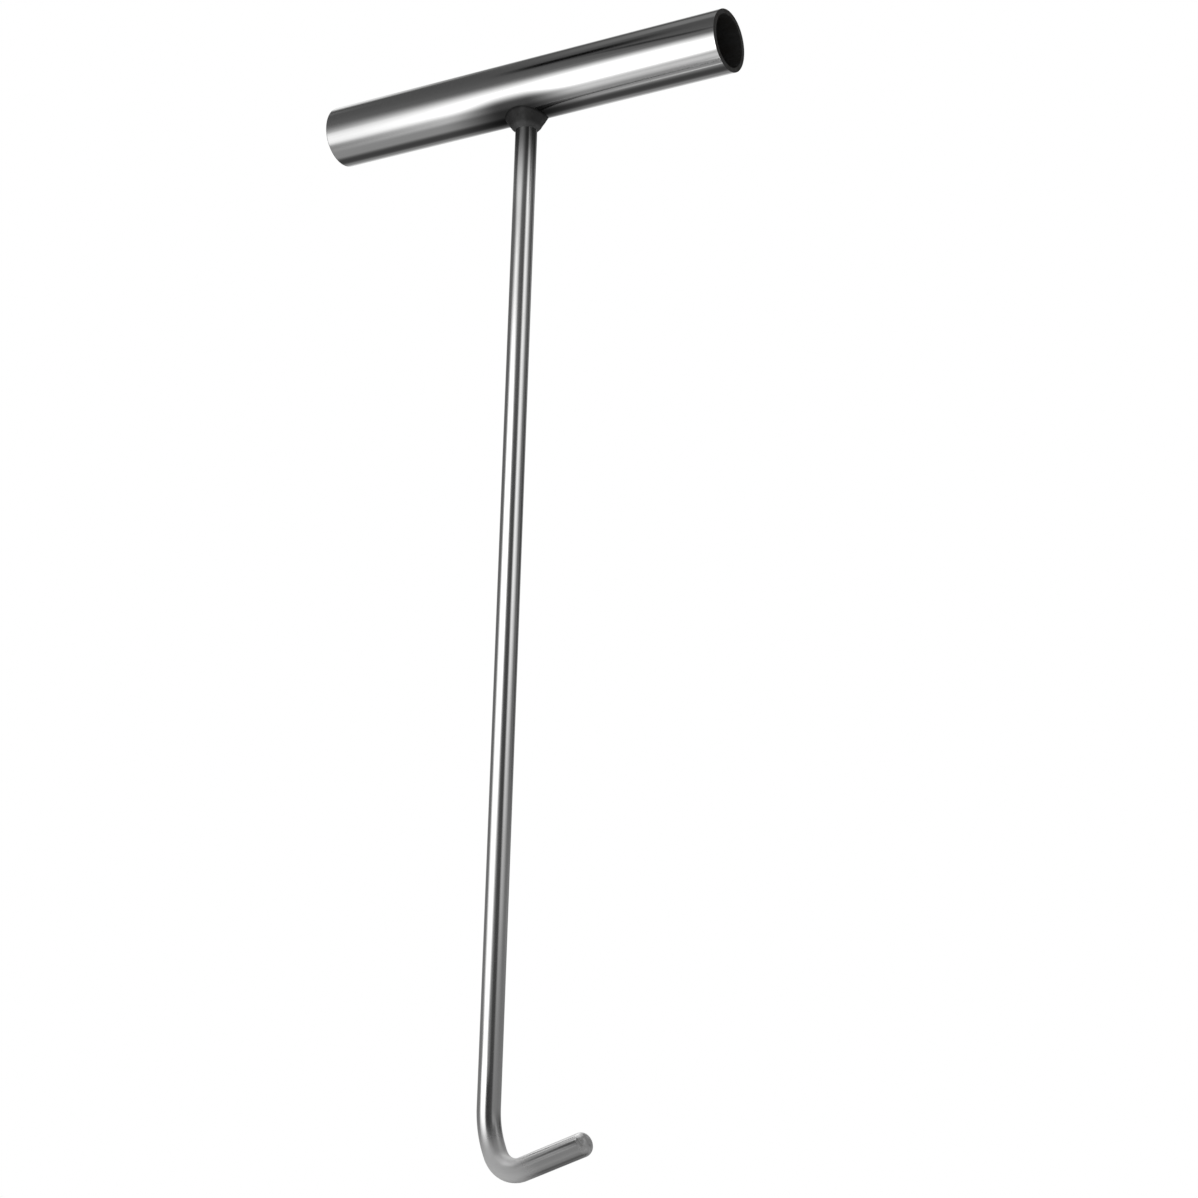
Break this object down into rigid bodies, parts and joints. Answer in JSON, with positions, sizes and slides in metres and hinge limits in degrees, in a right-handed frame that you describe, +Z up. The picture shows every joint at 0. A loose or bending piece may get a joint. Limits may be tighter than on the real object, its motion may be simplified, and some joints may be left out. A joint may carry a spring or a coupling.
{
  "type": "manhole cover lifter",
  "caption": "T-handled lifting hook for manhole covers: a round steel bar bent into a hook at its foot and welded under an open tube handle, bright plated.",
  "frame": {"origin": "centre of the handle tube's bore, on the line of the shank", "axes": "+X along the handle tube, towards the side that the hook's toe points to; +Z up the shank; +Y square to the plane of the hook"},
  "size_m": [0.25, 0.0336, 0.6],
  "materials": {
    "handle_plating": "bright plated steel tube, polished to a mirror",
    "rod_plating": "bright plated drawn steel bar, polished, with faint drawing lines along it",
    "weld_plating": "plated fillet weld, smooth and a little duller than the tube"
  },
  "bodies": {
    "root": {"handle_tube": "handle_plating", "hook_rod": "rod_plating", "weld_fillet": "weld_plating"}
  },
  "joints": []
}
